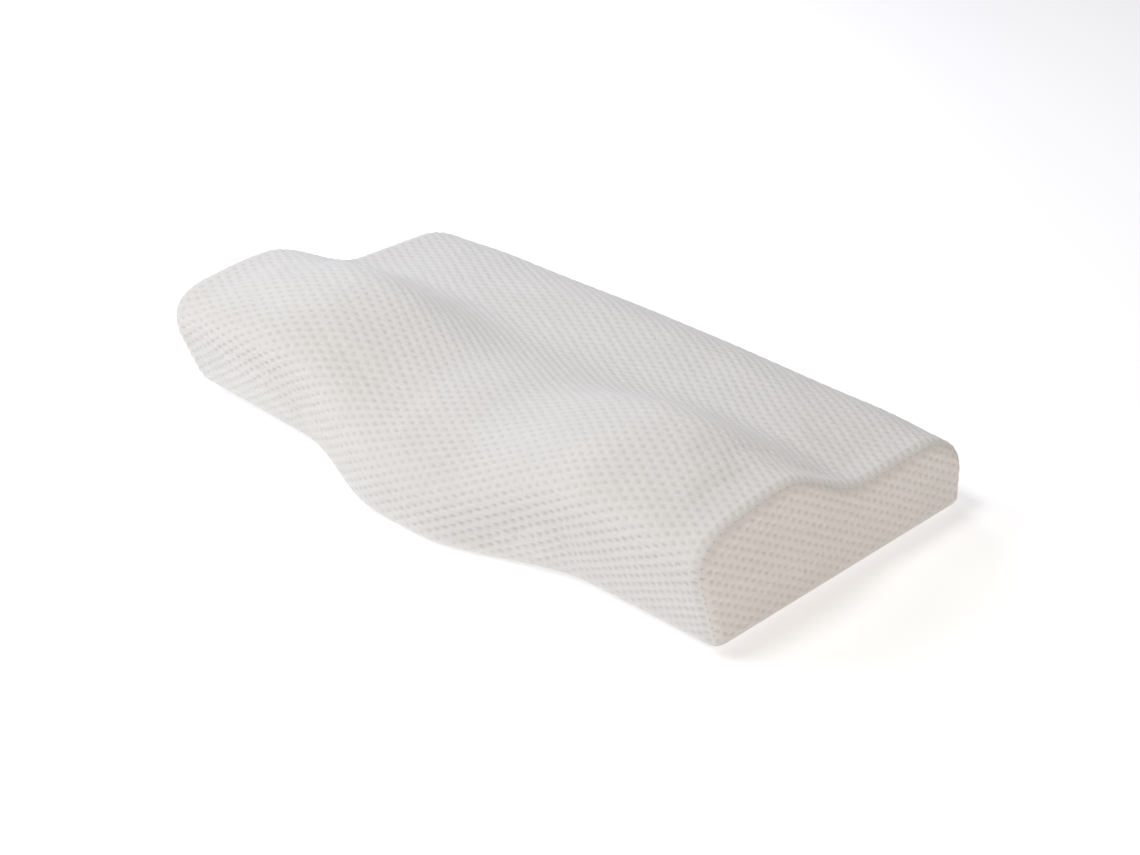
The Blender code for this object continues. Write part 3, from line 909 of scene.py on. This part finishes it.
def knit_material(name, light, dark, scale_u=8.0, scale_v=12.0, dimple_shade=0.38):
    s = Shader(name, 0.92, Sheen_Weight=0.18, Sheen_Roughness=0.6, Specular_IOR_Level=0.25)
    uv = s.node("ShaderNodeUVMap", uv_map="lattice")
    split = s.node("ShaderNodeSeparateXYZ", {"Vector": uv.outputs[0]})
    u, v = split.outputs[0], split.outputs[1]
    # loops of the knit: chevrons in columns
    across = s.math("PINGPONG", s.math("MULTIPLY", u, scale_u), 0.5)
    climb = s.math("ADD", s.math("MULTIPLY", v, scale_v), across)
    loops = s.math("MULTIPLY_ADD", s.math("SINE", s.math("MULTIPLY", climb, 2 * math.pi)), 0.5, 0.5)
    ridge = s.math("SINE", s.math("MULTIPLY", across, 2 * math.pi))
    loops = s.math("MULTIPLY", loops, s.math("MULTIPLY_ADD", ridge, 0.5, 0.5))
    fuzz = s.noise(900.0, 3.0)
    cloud = s.noise(14.0, 2.0)
    base = s.blend(s.ramp(cloud, 0.3, 0.7), (*light, 1.0), (*[c * 0.972 for c in light], 1.0))
    base = s.blend(s.math("MULTIPLY", s.math("SUBTRACT", 1.0, loops), 0.16), base, (*dark, 1.0))
    # painted shade: the colour darkens in each dimple, on top of the bump that sinks it
    if dimple_shade:
        mask = dimple_mask(s, u, v)
        base = s.blend(s.math("MULTIPLY", mask, dimple_shade), base, (*dark, 1.0))
    else:
        mask = s.ramp(fuzz, 0.2, 0.8)
    hairs = s.math("MULTIPLY_ADD", fuzz, 0.25, loops)
    s.bump([(s.math("SUBTRACT", 1.0, mask), 0.0003 if dimple_shade else 0.00005), (hairs, 0.00012)])
    return s.colour(base)


def foam_material():
    s = Shader("memory_foam_cells", 0.88, Sheen_Weight=0.05, Subsurface_Weight=0.0)
    tex = s.node("ShaderNodeTexCoord")
    cells = s.node("ShaderNodeTexVoronoi", {"Vector": tex.outputs["Object"], "Scale": 900.0}).outputs[0]
    big = s.node("ShaderNodeTexVoronoi", {"Vector": tex.outputs["Object"], "Scale": 260.0}).outputs[0]
    pores = s.ramp(big, 0.12, 0.26)
    cloud = s.noise(9.0, 3.0)
    base = s.blend(s.ramp(cloud, 0.3, 0.7), (0.90, 0.86, 0.74, 1.0), (0.86, 0.81, 0.67, 1.0))
    # painted shade: the colour darkens inside the foam's pores
    base = s.blend(s.math("MULTIPLY", s.math("SUBTRACT", 1.0, pores), 0.5), base, (0.62, 0.55, 0.40, 1.0))
    s.bump([(pores, 0.0003), (cells, 0.00015)])
    return s.colour(base)


PLY_PER_METRE = 1000.0
TWILL_PER_METRE = (1100.0, 900.0)   # along the tape and across it
WEFT_PER_METRE = 1800.0


def thread_material(name, light, dark):
    s = Shader(name, 0.62, Sheen_Weight=0.3, Sheen_Roughness=0.4, Specular_IOR_Level=0.35)
    tex = s.node("ShaderNodeTexCoord")
    split = s.node("ShaderNodeSeparateXYZ", {"Vector": tex.outputs["Object"]})
    run = s.math("ADD", s.math("ADD", split.outputs[0], split.outputs[1]), split.outputs[2])
    turns = s.math("SINE", s.math("MULTIPLY", run, PLY_PER_METRE * 2 * math.pi))
    ply = s.math("MULTIPLY_ADD", turns, 0.5, 0.5)
    fuzz = s.noise(2500.0, 2.0)
    shade = s.math("MULTIPLY_ADD", fuzz, 0.4, s.math("MULTIPLY", ply, 0.5))
    base = s.blend(shade, (*light, 1.0), (*dark, 1.0))
    s.bump([(ply, 0.00012), (fuzz, 0.00004)])
    return s.colour(base)


def weave_material(name, light, dark):
    s = Shader(name, 0.85, Sheen_Weight=0.12, Specular_IOR_Level=0.3)
    tex = s.node("ShaderNodeTexCoord")
    split = s.node("ShaderNodeSeparateXYZ", {"Vector": tex.outputs["Object"]})
    x, z = split.outputs[0], split.outputs[2]
    along, across = TWILL_PER_METRE
    zigzag = s.math("PINGPONG", s.math("MULTIPLY", z, across), 0.5)
    rows = s.math("ADD", s.math("MULTIPLY", x, along), zigzag)
    warp = s.math("MULTIPLY_ADD", s.math("SINE", s.math("MULTIPLY", rows, 2 * math.pi)), 0.5, 0.5)
    rise = s.math("SINE", s.math("MULTIPLY", z, WEFT_PER_METRE * 2 * math.pi))
    weft = s.math("MULTIPLY_ADD", rise, 0.5, 0.5)
    pattern = s.math("MULTIPLY", warp, weft)
    cloud = s.noise(60.0, 2.0)
    between = s.math("MULTIPLY", s.math("SUBTRACT", 1.0, pattern), 0.35)
    base = s.blend(between, (*light, 1.0), (*dark, 1.0))
    base = s.blend(s.math("MULTIPLY", cloud, 0.1), base, (*dark, 1.0))
    s.bump([(pattern, 0.0001)])
    return s.colour(base)


def nylon_material():
    s = Shader("coil_nylon", 0.34, Specular_IOR_Level=0.5, Coat_Weight=0.1)
    cloud = s.noise(120.0, 3.0)
    streak = s.noise(1400.0, 2.0)
    base = s.blend(s.ramp(cloud, 0.3, 0.7), (0.90, 0.90, 0.88, 1.0), (0.84, 0.84, 0.82, 1.0))
    base = s.blend(s.math("MULTIPLY", streak, 0.12), base, (0.72, 0.71, 0.68, 1.0))
    s.bump([(streak, 0.00002)])
    return s.colour(base)


def metal_material():
    s = Shader("brushed_nickel", 0.3, Metallic=1.0)
    tex = s.node("ShaderNodeTexCoord")
    stretch = s.node("ShaderNodeMapping", {"Vector": tex.outputs["Object"], "Scale": (90.0, 900.0, 2600.0)})
    noise = s.node("ShaderNodeTexNoise", {"Vector": stretch.outputs[0], "Scale": 1.0, "Detail": 3.0})
    brush = noise.outputs[0]
    spots = s.noise(420.0, 3.0)
    base = s.blend(s.ramp(spots, 0.35, 0.75), (0.78, 0.77, 0.75, 1.0), (0.62, 0.61, 0.60, 1.0))
    s.put(s.bsdf.inputs["Roughness"], s.ramp(brush, 0.2, 0.8, 0.22, 0.42))
    s.bump([(brush, 0.00002)])
    return s.colour(base)


# the dark tone serves the knit's loops and the painted shade in its dimples
KNIT = knit_material("air_layer_knit", (0.815, 0.812, 0.806), (0.64, 0.62, 0.585))
# the end panels take a dimmer, warmer copy of the knit: painted shade and painted warm light of the end
# faces, with weaker painted shade in their dimples
KNIT_END_SHADED = knit_material("air_layer_knit_end_shaded", (0.80, 0.775, 0.745), (0.62, 0.575, 0.53), dimple_shade=0.30)
LINER = knit_material("liner_jersey", (0.80, 0.80, 0.79), (0.64, 0.64, 0.62), 10.0, 14.0, 0.0)
FOAM = foam_material()
THREAD = thread_material("seam_thread_twist", (0.74, 0.64, 0.52), (0.54, 0.44, 0.33))
WHITE_THREAD = thread_material("lockstitch_thread", (0.80, 0.79, 0.77), (0.62, 0.60, 0.57))
TAPE = weave_material("tape_twill", (0.82, 0.82, 0.81), (0.60, 0.60, 0.59))
NYLON = nylon_material()
METAL = metal_material()


def finish_piece(obj, mat, slot, *nodes, body="pillow"):
    obj.data.materials.clear()
    obj.data.materials.append(mat)
    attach(obj, body)
    if nodes:
        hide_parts(*nodes)
    return obj


finish_piece(foam, FOAM, "memory_foam", "foam_core")
LINER_V_STEP = 0.8                  # of the pattern, from one point of a row to the next
liner_u = liner_rows[:, :, 0].ravel() / COLUMN
liner_v = np.tile(np.arange(cols), len(liner_rows)) * LINER_V_STEP
add_uv(liner, np.stack([liner_u, liner_v], 1), closed=(cols, cols * LINER_V_STEP))
finish_piece(liner, LINER, "liner_knit", "liner_wrap")
finish_piece(cover, KNIT, "cover_knit", "cover_wrap")
for word, side in (("right", 1.0), ("left", -1.0)):
    inner = liner_end(side, f"liner_end_jersey_{word}")
    co = np.array([v.co for v in inner.data.vertices])
    add_uv(inner, np.stack([co[:, 1] / COLUMN, co[:, 2] / PITCH], 1))
    finish_piece(inner, LINER, "liner_knit", f"liner_end_{word}")
    panel = end_panel(side, f"cover_end_knit_{word}")
    finish_piece(panel, KNIT_END_SHADED, "cover_end_knit", f"cover_end_{word}")
    thread = seam_stitches(side, f"end_seam_stitches_{word}")
    finish_piece(thread, THREAD, "seam_thread", f"end_seam_thread_{word}")

for word, side in (("upper", 1.0), ("lower", -1.0)):
    finish_piece(tape(f"zip_tape_woven_{word}", side), TAPE, "zip_tape", f"zip_tape_{word}")
    finish_piece(coil(f"zip_coil_teeth_{word}", side), NYLON, "zip_coil", f"zip_coil_{word}")
    thread = zip_stitches(f"zip_stitches_{word}", side)
    finish_piece(thread, WHITE_THREAD, "seam_thread", f"zip_stitching_{word}")

for name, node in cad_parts.items():
    if node.hide_render:
        continue
    node.data.materials.clear()
    node.data.materials.append(METAL if name.startswith("zip_") else THREAD)
    if name.startswith("zip_"):
        edges = node.modifiers.new("edges", "BEVEL")
        edges.width = 0.00018
        edges.segments = 2
        edges.limit_method = "ANGLE"


# ---------------------------------------------------------------- stage, light and camera
def stage_material():
    glow = {"Emission_Color": (0.96, 0.98, 1.0, 1.0), "Emission_Strength": 0.36}
    s = Shader("studio_floor", 0.9, Specular_IOR_Level=0.1, **glow)
    cloud = s.noise(0.8, 2.0)
    return s.colour(s.blend(cloud, (0.93, 0.928, 0.926, 1.0), (0.945, 0.943, 0.942, 1.0)))


FLOOR_R = 40.0
FLOOR_Z = -0.0004
corners = [(a * FLOOR_R, b * FLOOR_R, FLOOR_Z) for a, b in ((-1, -1), (1, -1), (1, 1), (-1, 1))]
floor = mesh_object("floor", corners, [(0, 1, 2, 3)])
floor.data.materials.append(stage_material())


MIDDLE = (0.0, 0.0, 0.05)


def area_light(name, place_at, aim, size, power, colour):
    data = bpy.data.lights.new(name, "AREA")
    data.shape = "DISK"
    data.size = size
    data.energy = power
    data.color = colour
    obj = bpy.data.objects.new(name, data)
    obj.location = place_at
    obj.rotation_mode = "QUATERNION"
    obj.rotation_quaternion = (Vector(aim) - Vector(place_at)).to_track_quat("-Z", "Y")
    bpy.context.scene.collection.objects.link(obj)
    return obj


def around(azimuth, elevation, distance):
    """A place at an angle from +X, turning towards +Y, and above the floor."""
    a, e = math.radians(azimuth), math.radians(elevation)
    reach = distance * math.cos(e)
    return (reach * math.cos(a), reach * math.sin(a), distance * math.sin(e) + MIDDLE[2])


area_light("overhead", around(-100, 70, 1.6), MIDDLE, 0.5, 8.1, (0.95, 1.0, 0.98))
area_light("key_left", around(-140, 38, 2.0), MIDDLE, 1.2, 12.0, (1.0, 0.965, 0.98))
area_light("back_fill", around(150, 30, 1.6), MIDDLE, 0.6, 6.1, (0.70, 0.75, 1.0))
area_light("right_fill", around(-20, 35, 2.2), MIDDLE, 1.4, 7.7, (1.0, 0.81, 0.71))

world = bpy.data.worlds.new("studio")
world.use_nodes = True
sky = world.node_tree.nodes["Background"]
sky.inputs["Color"].default_value = (1.0, 0.955, 0.91, 1.0)
# the sky is paler near the horizon, where it meets the floor
nodes, links = world.node_tree.nodes, world.node_tree.links
split = nodes.new("ShaderNodeSeparateXYZ")
links.new(nodes.new("ShaderNodeTexCoord").outputs["Generated"], split.inputs[0])
glow = nodes.new("ShaderNodeMapRange")
glow.interpolation_type = "SMOOTHSTEP"
for key, value in (("From Min", 0.06), ("From Max", 0.30), ("To Min", 0.66), ("To Max", 0.285)):
    glow.inputs[key].default_value = value
links.new(split.outputs[2], glow.inputs["Value"])
links.new(glow.outputs[0], sky.inputs["Strength"])
bpy.context.scene.world = world
bpy.context.scene.view_settings.view_transform = "Standard"

YAW, PITCH_DOWN, ROLL = 0.7901, 0.4863, -0.0022
DISTANCE = 2.1048
LOOK_AT = Vector((0.0175, -0.0017, 0.0304))
SENSOR = 36.0
FOCAL_WIDTHS = 2549.4 / 1140.0      # focal length, in widths of the picture
data = bpy.data.cameras.new("camera")
data.sensor_width = SENSOR
data.lens = SENSOR * FOCAL_WIDTHS
data.clip_end = 200.0
camera = bpy.data.objects.new("camera", data)
level = math.cos(PITCH_DOWN)
back_way = Vector((math.sin(YAW) * level, -math.cos(YAW) * level, math.sin(PITCH_DOWN)))
turned = (-back_way).to_track_quat("-Z", "Y").to_matrix() @ Matrix.Rotation(ROLL, 3, "Z")
camera.matrix_world = Matrix.Translation(LOOK_AT + back_way * DISTANCE) @ turned.to_4x4()
bpy.context.scene.collection.objects.link(camera)
bpy.context.scene.camera = camera
